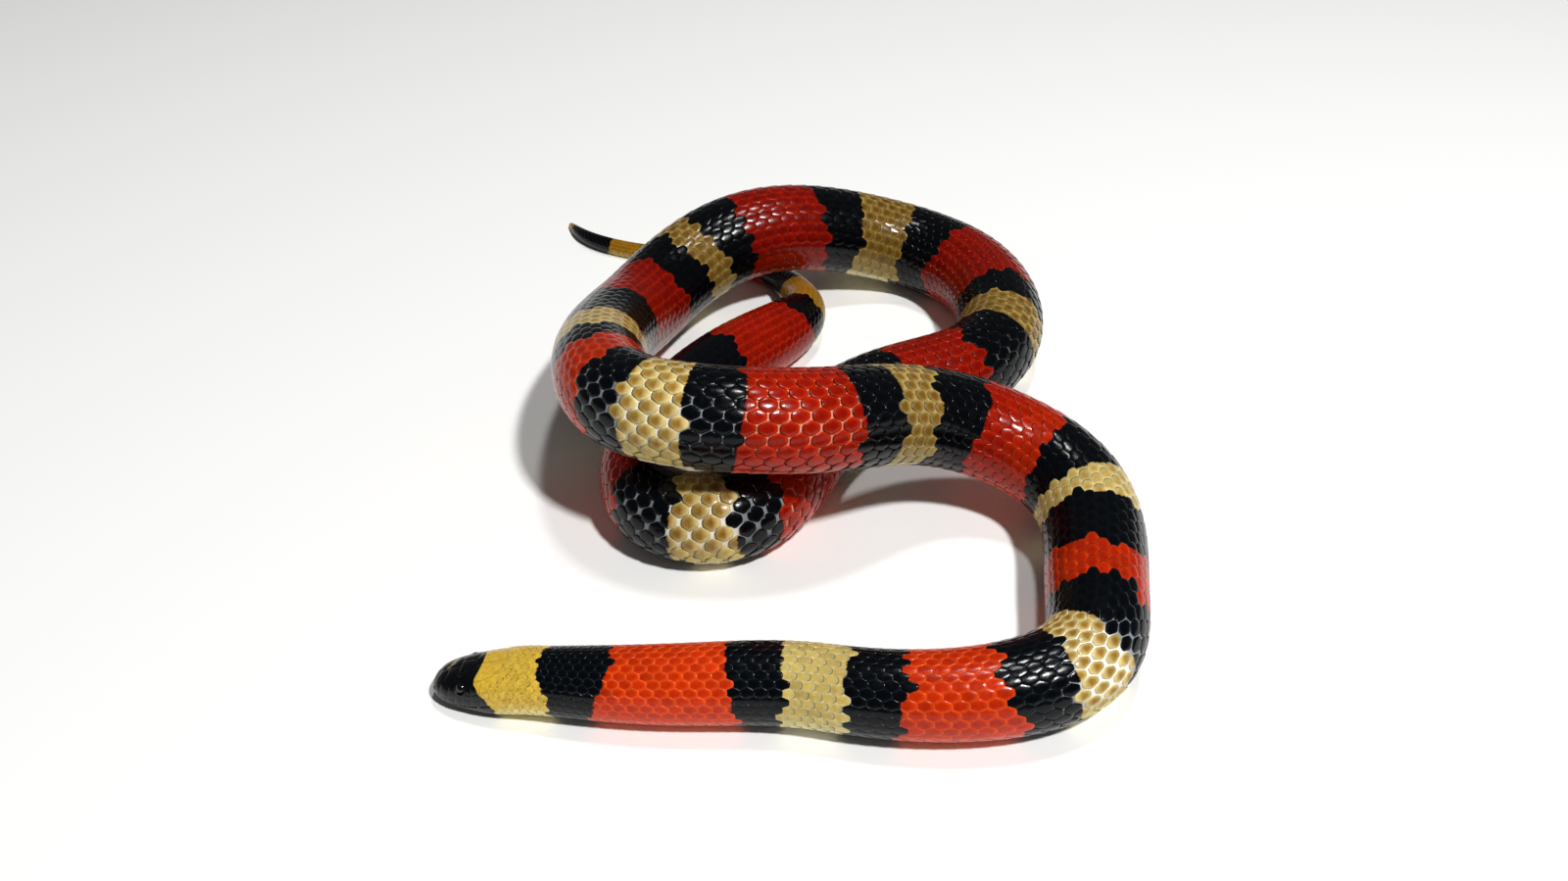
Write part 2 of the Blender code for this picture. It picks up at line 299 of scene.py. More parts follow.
EDGE_REACH = 0.6  # how near to it a scale may have both colours
PART_COLOURED = 0.5  # share of those that do
NO_EDGE = -9  # stands for an edge far away, on scales of one colour

# --- colours by kind: centre of a scale, its rim, low on the flank, belly plates, skin between scales ---
CENTRE, RIM, FLANK, BELLY, SKIN = range(5)
FRONT_COLOURS = {
    "black": ("#010306", "#0A1118", "#04080C", "#101418", "#5A6266"),
    "red": ("#B82802", "#E85216", "#D83C06", "#E8683C", "#F08C68"),
    "cream": ("#C2A95A", "#E8DCA4", "#E4D898", "#F1EBCB", "#FAF6E8"),
    "collar": ("#DAB23C", "#E6C454", "#F2E698", "#ECDD9A", "#96701E"),
    "gold": ("#A0700C", "#CFA63A", "#D0B055", "#DCC888", "#C8A050"),
}
MIDDLE_COLOURS = {
    "black": ("#010306", "#080D13", "#04070A", "#101316", "#83898C"),
    "red": ("#8C0E00", "#CC2E06", "#BE2603", "#C85030", "#F09474"),
    "cream": ("#946E1A", "#E8D492", "#D4BF70", "#E4D9B0", "#FFFCF2"),
    "collar": ("#D6AC36", "#E9CB62", "#F0E08A", "#ECDD9A", "#9A7424"),
    "gold": ("#966808", "#C89C30", "#CCAA4C", "#DAC484", "#C8A050"),
}
# The rear's colours are darker still: painted shade for the dimmer light at the back of the coil.
REAR_COLOURS = {
    "black": ("#010204", "#06090E", "#030507", "#101316", "#3C4448"),
    "red": ("#6A0300", "#AE1E02", "#961602", "#B04A30", "#C85C42"),
    "cream": ("#5A3C08", "#B4964C", "#AE9850", "#D8CC9C", "#D8C898"),
    "collar": MIDDLE_COLOURS["collar"],
    "gold": ("#875806", "#B88C22", "#C09C40", "#D8C080", "#C8A050"),
}
# How the colours turn from the front's (0) to the middle's (1) and the rear's (2): along, turn. The darker
# colours further back are painted shade, for the light that falls off away from the lamps.
PAINTED_FALLOFF_SHADE = (
    *((60, 0), (85, 0.15), (112, 0.35), (118, 1.1), (126, 1.1), (132, 0.55), (143, 0.6), (166, 0.4)),
    *((190, 0.8), (212, 1.7), (223, 1.75), (242, 1), (272, 1), (283, 0.55), (293, 0.55), (302, 1)),
    *((350, 2), (362, 1.9), (395, 1.85), (420, 2), (440, 2), (461, 1.75), (490, 1.9), (503, 1.7)),
    *((515, 1.5), (530, 1.5), (560, 1), (580, 1), (587, 1.25), (596, 1.25), (603, 1), (620, 1)),
    *((675, 1.35), (690, 1.8)),
)
TONE_SPREAD = 0.07  # how much lighter or darker one scale is than the next
PAINTED_FOOT_SHADE = 0.85  # painted shade: how much darker the foot of a scale is at its back, for the shadow under its free edge
# And the painted shade on the free rim above the foot, standing for the shadow at the back of a scale: along,
# share.
PAINTED_BACK_SHADE = (
    *((22, 0.62), (25, 0.05), (64, 0.05), (67, 0.85), (77, 0.85), (80, 0.05), (105, 0.05), (130, 0.6)),
    (200, 0.88),
)
BACK_ENDS = (0.1, 0.38)  # that shade sets in between these, counted from the middle of a scale
RIM_INK = 0.8  # and ends where this much of the centre's colour is reached
FRONT_ENDS = (-0.42, 0.1)  # a cream scale is paler up to the first, and as usual from the second
PALE_FRONT = 0.75  # and this much nearer to its rim's colour
PALE_STARTS = (100, 130)  # this sets in between these places on the body
SMUDGE = (0.83, 0.5, 0.35)  # what is left of a cream scale's colour in its middle, at least
SMUDGE_STARTS = (90, 130)
FLANK_TURNS = (1.45, 2.1)  # where scales take the flank's colour
FLANK_SHARE = 0.85  # and how much of it
SKIN_TURNS = (1.3, 1.9)  # where the skin takes it
SKIN_SHADE = 0.85  # at this share of its brightness
CLEAN_MIDDLE = 0.6  # how much fewer dark flecks lie on the middle of a collar scale
PLATE_RAGGED = 0.3  # how far a plate may be on the wrong side of a ring's edge
PLATE_SPREAD = 0.04  # how much lighter or darker one plate is than the next

# The values of soft noise between which it drives mottling, roughness and flecks from nothing to all.
MOTTLE_SPAN = (0.3, 0.7)
ROUGH_SPAN = (0.35, 0.65)
FLECK_SPAN = (0.54, 0.7)

# --- the studio ---
CAMERA_AT = (-3.96, -280.71, 200.0)
CAMERA_DOWN = 35.95  # degrees below level
LENS = 33.07
CLOSEST = 0.01  # the nearest thing that the camera sees, in metres
FLOOR_SIZE = 3.0  # in metres, from the middle to an edge
# Soft lights: name, place and size in metres, power in watts.
LIGHTS = (
    ("overhead_softbox", (0.15, 0.15, 1.2), 0.12, 3.8),
    ("front_key", (0.4, -0.55, 1.05), 0.09, 13.4),
)
ROOM_LIGHT = 0.09


def spline(at, values):
    """The smooth curve through rows of values given at increasing places, straight at its two ends."""
    at = np.asarray(at, float)
    values = np.asarray(values, float)
    gap = np.diff(at)
    slope = np.diff(values, axis=0) / gap[:, None]
    count = len(at)
    table = np.eye(count)
    right = np.zeros_like(values)
    for i in range(1, count - 1):
        table[i, i - 1 : i + 2] = gap[i - 1], 2 * (gap[i - 1] + gap[i]), gap[i]
        right[i] = 6 * (slope[i] - slope[i - 1])
    bend = np.linalg.solve(table, right)

    def curve(place):
        i = np.clip(np.searchsorted(at, place) - 1, 0, count - 2)
        width = gap[i][:, None]
        ahead = (place - at[i])[:, None] / width
        behind = 1 - ahead
        straight = behind * values[i] + ahead * values[i + 1]
        bow = (behind**3 - behind) * bend[i] + (ahead**3 - ahead) * bend[i + 1]
        return straight + bow * width**2 / 6

    return curve


def eased(value, low, high):
    """0 below low, 1 above high, and smooth between."""
    part = np.clip((value - low) / (high - low), 0, 1)
    return part * part * (3 - 2 * part)


def table_at(table, place):
    """A value read from a table of places and values."""
    return np.interp(place, *zip(*table))


def lengths(rows):
    """The length of every row."""
    return np.linalg.norm(rows, axis=1)


def running_sum(steps):
    """What the steps add up to, from 0 on."""
    return np.concatenate([[0], np.cumsum(steps)])


def measured_route():
    """The route as a curve, with a table of how far along each of its places is."""
    points = np.array(ROUTE) - MIDDLE
    knots = running_sum(lengths(np.diff(points, axis=0)))
    curve = spline(knots, points)
    places = np.linspace(0, knots[-1], ROUTE_STEPS)
    return curve, places, running_sum(lengths(np.diff(curve(places), axis=0)))


route_curve, route_places, route_along = measured_route()
LENGTH = float(route_along[-1])
girth_table = np.array(GIRTH)
girth_curve = spline(girth_table[:, 0], girth_table[:, 1:])
head_table = np.array(HEAD)
head_curve = spline(np.sqrt(head_table[:, 0]), head_table[:, 1:])


def radius_at(along):
    """Half the thickness of the trunk or the tail."""
    return girth_curve(np.clip(along, GIRTH[0][0], GIRTH[-1][0]))[:, 0]


def section_at(along):
    """The half width, the middle's height over the belly, the reach up, how square, the chin's height."""
    body_radius = girth_curve(np.minimum(along, GIRTH[-1][0]))[:, 0]
    half_width, crown, chin = head_curve(np.sqrt(np.clip(along, 0, HEAD_BEYOND))).T
    middle = chin + WIDEST * (crown - chin)
    share = eased(along, *NECK_BLEND)
    body = (body_radius, FLAT_BELLY * body_radius, body_radius, 2.0, 0.0)
    head = (half_width, middle, crown - middle, HEAD_SQUARE, chin)
    return [a + share * (b - a) for a, b in zip(head, body)]


def middle_at(along):
    """The middle of the section."""
    flat = route_curve(np.interp(along, route_along, route_places))
    height = section_at(along)[1]
    for middle, top, run_up, run_down in CLIMBS:
        run = np.where(along < middle, run_up, run_down)
        height = height + top * np.cos(np.minimum(np.abs(along - middle) / run, 1) * math.pi / 2) ** 2
    return np.column_stack([flat, height])


def axes_at(along, reach=0.5):
    """Which way the animal's left and its back point. The back leans as the body climbs."""
    forward = middle_at(np.maximum(along - reach, 0)) - middle_at(np.minimum(along + reach, LENGTH))
    forward[along < NECK_BLEND[1], 2] = 0
    forward /= lengths(forward)[:, None]
    left = np.cross((0.0, 0.0, 1.0), forward)
    left /= lengths(left)[:, None]
    return left, np.cross(forward, left)


STATIONS = np.arange(0, LENGTH + STATION_GAP, STATION_GAP).clip(0, LENGTH)
station_table = np.column_stack([middle_at(STATIONS), *axes_at(STATIONS), *section_at(STATIONS)])


def on_body(along, angle, rise):
    """Points on the body in millimetres, one for each place, angle and rise."""
    along, angle, rise = np.broadcast_arrays(along, angle, rise)
    read = [np.interp(along, STATIONS, column) for column in station_table.T]
    middle, left, back = (np.column_stack(read[i : i + 3]) for i in (0, 3, 6))
    half_width, height, reach_up, square, chin = read[9:]
    power = 2 / square
    grown = (1 + rise / half_width) * tip_taper(along)
    side = half_width * np.sign(np.sin(angle)) * np.abs(np.sin(angle)) ** power * grown
    reach = np.where(np.cos(angle) > 0, reach_up, (height - chin) / FLAT_BELLY)
    up = reach * np.sign(np.cos(angle)) * np.abs(np.cos(angle)) ** power
    up = np.maximum(up, chin - height) * grown
    points = middle + side[:, None] * left + up[:, None] * back
    points[:, 2] = np.maximum(points[:, 2], 0)
    return points


def tip_taper(along):
    """Closes the skin in a round end at the snout and at the tip of the tail."""
    at_nose = np.clip(along / NOSE_ROUND, 0, 1)
    at_spine = np.clip((LENGTH - along) / SPINE_ROUND, 0, 1)
    return np.sqrt(1 - (1 - at_nose) ** 2) * np.sqrt(1 - (1 - at_spine) ** 2)


def coat_depth(along):
    """How far the skin lies under the tips of the scales. The head has no loose scales."""
    least, more = COAT_DEPTH
    return (least + more * radius_at(along)) * (HEAD_COAT + (1 - HEAD_COAT) * eased(along, *COAT_GROWS))


def angle_at_side(along, side):
    """The angle of a point on the crown, from its distance to the middle as seen from above."""
    half_width, _, _, square, _ = section_at(along)
    return np.arcsin(np.clip(side / half_width, 0, 1) ** (square / 2))


def angle_at_height(along, height):
    """The angle of a point on the left cheek, from its height over the floor."""
    _, middle, reach_up, square, chin = section_at(along)
    up = height - middle
    share = np.clip(up / np.where(up > 0, reach_up, (middle - chin) / FLAT_BELLY), -1, 1)
    return np.arccos(np.sign(share) * np.abs(share) ** (square / 2))


# --- the rings of scales and the rings of colour ---
def pitch_at(along):
    """The distance between two rings of scales."""
    return table_at(PITCHES, along)


ring_count = running_sum(np.diff(STATIONS) / pitch_at(STATIONS[1:]))


def along_at_ring(ring):
    """Where a ring of scales lies, counted from the snout."""
    return np.interp(ring, ring_count, STATIONS)


def row_gap_at(along):
    """The angle between two rows of scales, which grows on the thin tail so that it has fewer rows."""
    return np.maximum(table_at(ROW_GAPS, along), THIN_GAP * pitch_at(along) / radius_at(along))


def coat_start_at(angle):
    """Where the loose scales begin behind the head's shields, round from the crown to the throat."""
    return table_at(COAT_START, np.degrees(np.abs(angle)))


def colour_ring_starts():
    """The kind of each ring of colour, and where along the back it starts."""
    groups = [ring for group in BODY_RINGS for ring in zip(GROUP, group)]
    kinds, counts = zip(*HEAD_RINGS, *groups, ("cream", 0))
    starts = along_at_ring(np.cumsum([0, *counts[:-1]]))
    golden = {"cream": "gold"}
    kinds = [golden.get(kind, kind) if start > GOLD_BEHIND else kind for kind, start in zip(kinds, starts)]
    return kinds, starts


ring_kinds, ring_starts = colour_ring_starts()
ring_flares = np.random.default_rng(3).uniform(*RED_FLARE, len(ring_kinds) + 1)


def ring_edges(angle):
    """Where each ring of colour starts at these angles, a row for each ring."""
    turn = np.abs(angle)
    flank = eased(turn, *FLARE_TURNS)
    cheek = np.exp(-(((turn - CHEEK_TURN) / CHEEK_WIDTH) ** 2))
    lobes = CHEEK_LOBES * np.abs(np.sin(turn * LOBES)) * eased(turn, *LOBE_TURNS)
    rows = []
    for number, start in enumerate(ring_starts):
        if ring_kinds[number] == "red":
            edge = start - ring_flares[number] * flank
        elif ring_kinds[number - 1] == "red":
            edge = start + ring_flares[number] * flank
        elif ring_kinds[number] == "collar":
            edge = start - CHEEK_SWING * cheek + lobes + LIP_SWEEP * eased(turn, *LIP_TURNS)
        elif ring_kinds[number - 1] == "collar":
            edge = start + THROAT_SWEEP * eased(turn, *THROAT_TURNS)
        else:
            edge = start + 0 * turn
        rows.append(edge)
    return np.array(rows)


def kind_at(along, angle):
    """The number of the ring of colour that a point is in."""
    return (along >= ring_edges(angle)).sum(axis=0) - 1


def nearest_edge(along, angle):
    """The number of the ring that starts nearest to a point, and how far the point is behind its start."""
    past = along - ring_edges(angle)[1:]
    nearest = np.abs(past).argmin(axis=0)
    return nearest + 1, past[nearest, np.arange(len(nearest))]


# --- colour ---
def linear(hex_colour):
    """An sRGB hex value as linear red, green and blue."""
    parts = np.array([int(hex_colour[i : i + 2], 16) for i in (1, 3, 5)]) / 255
    return np.where(parts <= 0.04045, parts / 12.92, ((parts + 0.055) / 1.055) ** 2.4)


def palette(colours):
    """A table of linear colours, by kind in the order of the rings, and by part of the coat."""
    return np.array([[linear(colour) for colour in colours[kind]] for kind in ring_kinds])


palettes = np.array([palette(colours) for colours in (FRONT_COLOURS, MIDDLE_COLOURS, REAR_COLOURS)])


def colour_at(along, angle, part, ring=None):
    """The colour of one part of the coat at these places, by its ring and by how far back it is, with painted
    shade darkening it further back.
    """
    ring = kind_at(along, angle) if ring is None else ring
    turn = table_at(PAINTED_FALLOFF_SHADE, along)
    early = np.minimum(turn.astype(int), 1)
    return mixed(palettes[early, ring, part], palettes[early + 1, ring, part], turn - early)


def mixed(first, second, share):
    """Two rows of colours mixed row by row."""
    share = np.asarray(share)[:, None]
    return first * (1 - share) + second * share


def write_colours(data, name, colours):
    """Stores a colour for each vertex."""
    layer = data.color_attributes.new(name, "FLOAT_COLOR", "POINT")
    layer.data.foreach_set("color", np.column_stack([colours, np.ones(len(colours))]).ravel())


def write_numbers(data, name, numbers):
    """Stores a number for each vertex."""
    layer = data.attributes.new(name, "FLOAT", "POINT")
    layer.data.foreach_set("value", np.asarray(numbers, np.float32).ravel())


def on_map(along, angle, strip_along):
    """A place on the skin's own unwrap, in the strip that holds strip_along."""
    strip_length = LENGTH / STRIPS
    strip = np.clip(np.floor(strip_along / strip_length), 0, STRIPS - 1)
    lengthwise, crosswise = MAP_FILL
    across = (along / strip_length - strip) * lengthwise + (1 - lengthwise) / 2
    return np.column_stack([across, (strip + 0.5 + angle / math.tau * crosswise) / STRIPS])


# --- materials ---
def add_node(tree, kind, inputs=None, **settings):
    """Adds a node, sets its options, and fills its inputs with values or with other nodes' outputs."""
    made = tree.nodes.new("ShaderNode" + kind)
    for name, value in settings.items():
        setattr(made, name, value)
    for socket, value in (inputs or {}).items():
        if isinstance(value, bpy.types.NodeSocket):
            tree.links.new(value, made.inputs[socket])
        else:
            made.inputs[socket].default_value = value
    return made


def new_material(name, **values):
    """A material with a Principled shader whose own sockets hold these values."""
    material = bpy.data.materials.new(name)
    material.use_nodes = True
    shader = material.node_tree.nodes["Principled BSDF"]
    for socket, value in values.items():
        shader.inputs[socket.replace("_", " ")].default_value = value
    return material, material.node_tree, shader


def per_mm(size):
    """The scale that gives a texture features of this size in millimetres."""
    return 1 / (size * MM)


def blended(tree, share, first, second):
    """One colour turning into another. A colour is given in hex or as another node's output."""
    first, second = (
        (*linear(colour), 1) if isinstance(colour, str) else colour for colour in (first, second)
    )
    mix = add_node(tree, "Mix", {0: share, 6: first, 7: second}, data_type="RGBA")
    return mix.outputs[2]


def attribute(tree, name):
    """A colour or a number stored on the mesh."""
    return add_node(tree, "Attribute", attribute_name=name).outputs


def grain_noise(tree, grain, detail=2.0):
    """Noise whose features have this size in millimetres."""
    place = add_node(tree, "TexCoord").outputs["Object"]
    noise = add_node(tree, "TexNoise", {"Vector": place, "Scale": per_mm(grain), "Detail": detail})
    return noise.outputs["Fac"]


def ranged(tree, value, from_low, from_high, to_low=0.0, to_high=1.0):
    """A value stretched from one range to another and held inside it."""
    inputs = {"Value": value, 1: from_low, 2: from_high, 3: to_low, 4: to_high}
    return add_node(tree, "MapRange", inputs).outputs["Result"]


def combined(tree, operation, first, second):
    """Two values added, multiplied and so on."""
    return add_node(tree, "Math", {0: first, 1: second}, operation=operation).outputs["Value"]


def mottled(tree, colour, grain, low, high):
    """A colour made a little darker and lighter in soft spots of this size."""
    shade = ranged(tree, grain_noise(tree, grain, detail=3.0), *MOTTLE_SPAN, low, high)
    return add_node(tree, "VectorMath", {0: colour, 1: shade}, operation="MULTIPLY").outputs["Vector"]


def finish(tree, shader, colour, rough, relief):
    """Gives a shader its colour, roughness that wanders in spots of one grain between two values, and fine
    relief of a grain, a height and, where it is given, how much detail it has."""
    grain, low, high = rough
    roughness = ranged(tree, grain_noise(tree, grain), *ROUGH_SPAN, low, high)
    grain, height, *detail = relief
    inputs = {"Height": grain_noise(tree, grain, *detail), "Distance": height * MM, "Strength": 1.0}
    bump = add_node(tree, "Bump", inputs)
    tree.links.new(colour, shader.inputs["Base Color"])
    tree.links.new(roughness, shader.inputs["Roughness"])
    tree.links.new(bump.outputs["Normal"], shader.inputs["Normal"])


def smooth_scale_keratin():
    """Snake-scale keratin, grown smooth: clear waxy horn over colour, so the eye sees soft glints on each
    scale, faint dark flecks under the gloss, and scales on a ring's edge that change colour half-way."""
    material, tree, shader = new_material("smooth_scale_keratin", IOR=1.42, Specular_IOR_Level=0.27)
    wobble = ranged(tree, grain_noise(tree, grain=0.8), 0, 1, -EDGE_WOBBLE, EDGE_WOBBLE)
    edge = combined(tree, "ADD", attribute(tree, "edge")["Fac"], wobble)
    past = ranged(tree, edge, -EDGE_BLUR, EDGE_BLUR)
    own, following = (attribute(tree, name)["Color"] for name in ("coat_colour", "next_colour"))
    colour = blended(tree, past, own, following)
    spots = ranged(tree, grain_noise(tree, grain=0.42, detail=3.0), *FLECK_SPAN)
    before = combined(tree, "SUBTRACT", 1.0, past)
    amount = combined(tree, "MULTIPLY", spots, attribute(tree, "flecks")["Fac"])
    amount = combined(tree, "MULTIPLY", amount, before)
    colour = blended(tree, amount, mottled(tree, colour, grain=0.9, low=0.84, high=1.14), "#4A3610")
    finish(tree, shader, colour, rough=(1.4, 0.13, 0.24), relief=(0.35, 0.012))
    return material


def belly_plate_keratin():
    """The same keratin on the belly, worn dull by the ground, with fine scuffs."""
    values = {"IOR": 1.54, "Coat_Weight": 0.1, "Coat_Roughness": 0.3}
    material, tree, shader = new_material("belly_plate_keratin", **values)
    colour = mottled(tree, attribute(tree, "coat_colour")["Color"], grain=1.6, low=0.86, high=1.1)
    finish(tree, shader, colour, rough=(2.0, 0.34, 0.5), relief=(0.5, 0.012))
    return material


def stretch_skin():
    """The thin soft skin between scales, dull and finely wrinkled, pale where it is stretched."""
    material, tree, shader = new_material("stretch_skin", IOR=1.4)
    colour = mottled(tree, attribute(tree, "skin_colour")["Color"], grain=0.6, low=0.85, high=1.1)
    finish(tree, shader, colour, rough=(1.0, 0.5, 0.68), relief=(0.25, 0.03, 4.0))
    return material


def head_shield_horn():
    """The thick horny shields of the head, polished like jet, with the finest pits."""
    material, tree, shader = new_material("head_shield_horn", IOR=1.5, Specular_IOR_Level=0.3)
    colour = mottled(tree, attribute(tree, "skin_colour")["Color"], grain=0.7, low=0.82, high=1.15)
    finish(tree, shader, colour, rough=(1.2, 0.2, 0.3), relief=(0.3, 0.008))
    return material


def wet_eye():
    """An eye under its clear scale: a round black pupil in a dark brown iris, both as glossy as if wet."""
    material, tree, shader = new_material(
        "wet_eye", IOR=1.4, Roughness=0.08, Coat_Weight=0.4, Coat_Roughness=0.03
    )
    off_axis = attribute(tree, "off_axis")["Fac"]
    brown = blended(tree, grain_noise(tree, grain=0.16, detail=3.0), "#070504", "#120B07")
    colour = blended(tree, ranged(tree, off_axis, *PUPIL), "#030303", brown)
    colour = blended(tree, ranged(tree, off_axis, *IRIS_EDGE), colour, "#07080A")
    tree.links.new(colour, shader.inputs["Base Color"])
    return material


def studio_paper():
    """White background paper, matt, rolled out flat."""
    material, _, shader = new_material("studio_paper", Roughness=0.9, IOR=1.3)
    shader.inputs["Base Color"].default_value = (*linear("#FDFDFB"), 1)
    return material


# --- pieces ---
def add_object(name, data):
    """Puts an object in the scene."""
    made = bpy.data.objects.new(name, data)
    bpy.context.scene.collection.objects.link(made)
    return made


def as_data(name, mesh):
    """Turns a worked shape into a mesh that an object can show."""
    data = bpy.data.meshes.new(name)
    mesh.to_mesh(data)
    mesh.free()
    return data


def add_piece(name, data, slot, *materials):
    """Puts a mesh in the scene as a piece that rides on the body, with these materials. The slot is not used.
    """
    for material in materials:
        data.materials.append(material)
    data.shade_smooth()
    piece = add_object(name, data)
    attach(piece, BODY)
    return piece


def skin_rings():
    """Where the skin's rings of vertices lie."""
    head = np.arange(0, FINE_END, HEAD_RING)
    body = np.arange(head[-1] + HEAD_RING, LENGTH - LAST_RINGS[0] - LAST_GAP, BODY_RING)
    return np.concatenate([head, body, LENGTH - np.array(LAST_RINGS)])


def skin_grid():
    """The skin without relief: a grid wrapped round the body, with its map. Its vertices know their place
    along and their angle."""
    rings = skin_rings()
    across = np.linspace(-1, 1, len(rings))
    mesh = bmesh.new()
    bmesh.ops.create_grid(mesh, x_segments=len(rings) - 1, y_segments=SKIN_SIDES, size=1)
    fine_limit = np.interp(FINE_END, rings, across)
    edges = [edge for edge in mesh.edges if max(vertex.co.x for vertex in edge.verts) < fine_limit]
    bmesh.ops.subdivide_edges(mesh, edges=edges, cuts=FINE_CUTS, use_grid_fill=True)
    sheet = vertex_places(mesh)
    along = np.interp(sheet[:, 0], across, rings)
    angle = sheet[:, 1] * math.pi
    points = on_body(along, angle, -coat_depth(along))
    along_layer = mesh.verts.layers.float.new("along")
    angle_layer = mesh.verts.layers.float.new("angle")
    for vertex, place, turn, point in zip(mesh.verts, along, angle, points):
        vertex[along_layer] = place
        vertex[angle_layer] = turn
        vertex.co = point
    map_layer = mesh.loops.layers.uv.new("OFBake")
    for face in mesh.faces:
        places = np.array([(loop.vert[along_layer], loop.vert[angle_layer]) for loop in face.loops])
        spots = on_map(places[:, 0], places[:, 1], places[:, 0].mean())
        for loop, spot in zip(face.loops, spots):
            loop[map_layer].uv = spot
    bmesh.ops.remove_doubles(mesh, verts=mesh.verts[:], dist=WELD)
    bmesh.ops.recalc_face_normals(mesh, faces=mesh.faces[:])
    return mesh


def vertex_places(mesh):
    """Where the vertices of a worked shape are."""
    return np.array([vertex.co for vertex in mesh.verts])


def vertex_values(mesh, name):
    """What the vertices of a worked shape know under this name."""
    layer = mesh.verts.layers.float[name]
    return np.array([vertex[layer] for vertex in mesh.verts])


def seam_points(seams, angle_of, depth, width):
    """Points along the seams, each with the depth and width of its groove, on both sides of the head."""
    found = []
    for seam in seams:
        corners = np.array(seam)
        reach = running_sum(lengths(np.diff(corners, axis=0)))
        steps = np.arange(0, reach[-1] + SEAM_STEP, SEAM_STEP).clip(0, reach[-1])
        along = np.interp(steps, reach, corners[:, 0])
        angle = angle_of(along, np.interp(steps, reach, corners[:, 1]))
        for side in (1, -1):
            spots = on_body(along, side * angle, -coat_depth(along))
            found += [(spot, depth, width) for spot in spots]
    return found


def lip_cut_seams():
    """The upright seams between the shields of the upper and the lower lip."""
    tops = CHEEK_SEAMS[0] + CHEEK_SEAMS[1][:4]
    feet = CHEEK_SEAMS[-1]
    seams = []
    for cuts, edge in ((UPPER_LIP_CUTS, tops), (LOWER_LIP_CUTS, feet)):
        for cut in cuts:
            far = cut + LIP_LEAN
            seams.append(((cut, table_at(MOUTH, cut)), (far, table_at(edge, far))))
    return seams


def chin_angle(along, side):
    """The angle of a point under the head, from its distance to the middle as seen from below."""
    return math.pi - angle_at_side(along, side)


def head_seams():
    """Every groove of the head: the seams between its shields, and the lips."""
    plain = (SEAM_DEPTH, SEAM_WIDTH)
    return (
        seam_points(CROWN_SEAMS, angle_at_side, *plain)
        + seam_points(CHEEK_SEAMS, angle_at_height, *plain)
        + seam_points(lip_cut_seams(), angle_at_height, *plain)
        + seam_points(CHIN_SEAMS, chin_angle, *plain)
        + seam_points((MOUTH,), angle_at_height, LIP_DEPTH, LIP_WIDTH)
    )


def eye_centre(side):
    """The middle of an eye, side being 1 for the animal's left and -1 for its right."""
    left, _ = axes_at(np.array([EYE_ALONG]))
    middle = middle_at(np.array([EYE_ALONG]))[0]
    gaze = left[0] * side * math.cos(EYE_TILT) + np.array([0, 0, math.sin(EYE_TILT)])
    return np.array([middle[0], middle[1], EYE_HEIGHT]) + left[0] * side * (EYE_OUT - EYE_SUNK), gaze


def nostril_centre(side):
    """The middle of a nostril's pit."""
    along = np.array([NOSTRIL[0]])
    angle = angle_at_height(along, np.array([NOSTRIL[1]]))
    return on_body(along, side * angle, -coat_depth(along))[0]


def shield_relief(points):
    """How far out each point of the head's skin is moved by seams and swelling shields, and how deep it is
    in a seam."""
    seams = head_seams()
    tree = KDTree(len(seams))
    for number, (spot, _, _) in enumerate(seams):
        tree.insert(spot, number)
    tree.balance()
    relief = np.zeros(len(points))
    in_seam = np.zeros(len(points))
    for i, point in enumerate(points):
        _, number, gap = tree.find(point)
        _, depth, width = seams[number]
        swell = SHIELD_DOME * (1 - math.exp(-((gap / DOME_REACH) ** 2)))
        in_seam[i] = math.exp(-((gap / width) ** 2))
        relief[i] = swell - depth * in_seam[i]
    return relief, in_seam


def head_relief(points, along):
    """The relief of the shields where they are, with the lids, the sockets and the nostrils."""
    shields = 1 - eased(along, *SHIELDS_END)
    relief, in_seam = (shields * values for values in shield_relief(points))
    opening = EYE_RADIUS * EYE_OPENING
    rim_height, rim_radius, rim_width = NOSTRIL_RIM
    for side in (1, -1):
        centre, axis = eye_centre(side)
        offset = points - centre
        beside = lengths(offset - np.outer(offset @ axis, axis))
        outside = offset @ axis > -SOCKET_REACH
        lid = LID_RISE * np.exp(-(((beside - opening * LID_RADIUS) / LID_WIDTH) ** 2))
        socket = SOCKET_DEPTH * (1 - eased(beside, opening * SOCKET_FLOOR, opening))
        near = outside * (1 - eased(beside, opening * LID_CLEAR[0], opening * LID_CLEAR[1]))
        relief = relief * (1 - near) + outside * (lid - socket)
        pit = lengths(points - nostril_centre(side))
        relief -= NOSTRIL_DEPTH * np.exp(-((pit / NOSTRIL_RADIUS) ** 4))
        relief += rim_height * np.exp(-(((pit - NOSTRIL_RADIUS * rim_radius) / rim_width) ** 2))
    return relief, in_seam


def skin_colours(along, angle, points):
    """The skin's colours: the rings', with the head's black shields and their few pale marks."""
    ring, past = nearest_edge(along, angle)
    share = eased(past, -EDGE_BLUR, EDGE_BLUR)
    skin, flank, horn = (
        mixed(colour_at(along, angle, part, ring - 1), colour_at(along, angle, part, ring), share)
        for part in (SKIN, FLANK, CENTRE)
    )
    skin = mixed(skin, flank * SKIN_SHADE, eased(np.abs(angle), *SKIN_TURNS))
    colours = np.where((along < coat_start_at(angle) + HORN_UNDER)[:, None], horn, skin)
    for place, turn, radius, colour in HEAD_MARKS:
        centre = on_body(np.array([place]), math.radians(turn), -coat_depth(np.array([place])))[0]
        gap = lengths(points - centre) / radius
        colours = mixed(colours, linear(colour)[None], MARK_STRENGTH * (1 - eased(gap, *MARK_FADE)))
    return colours


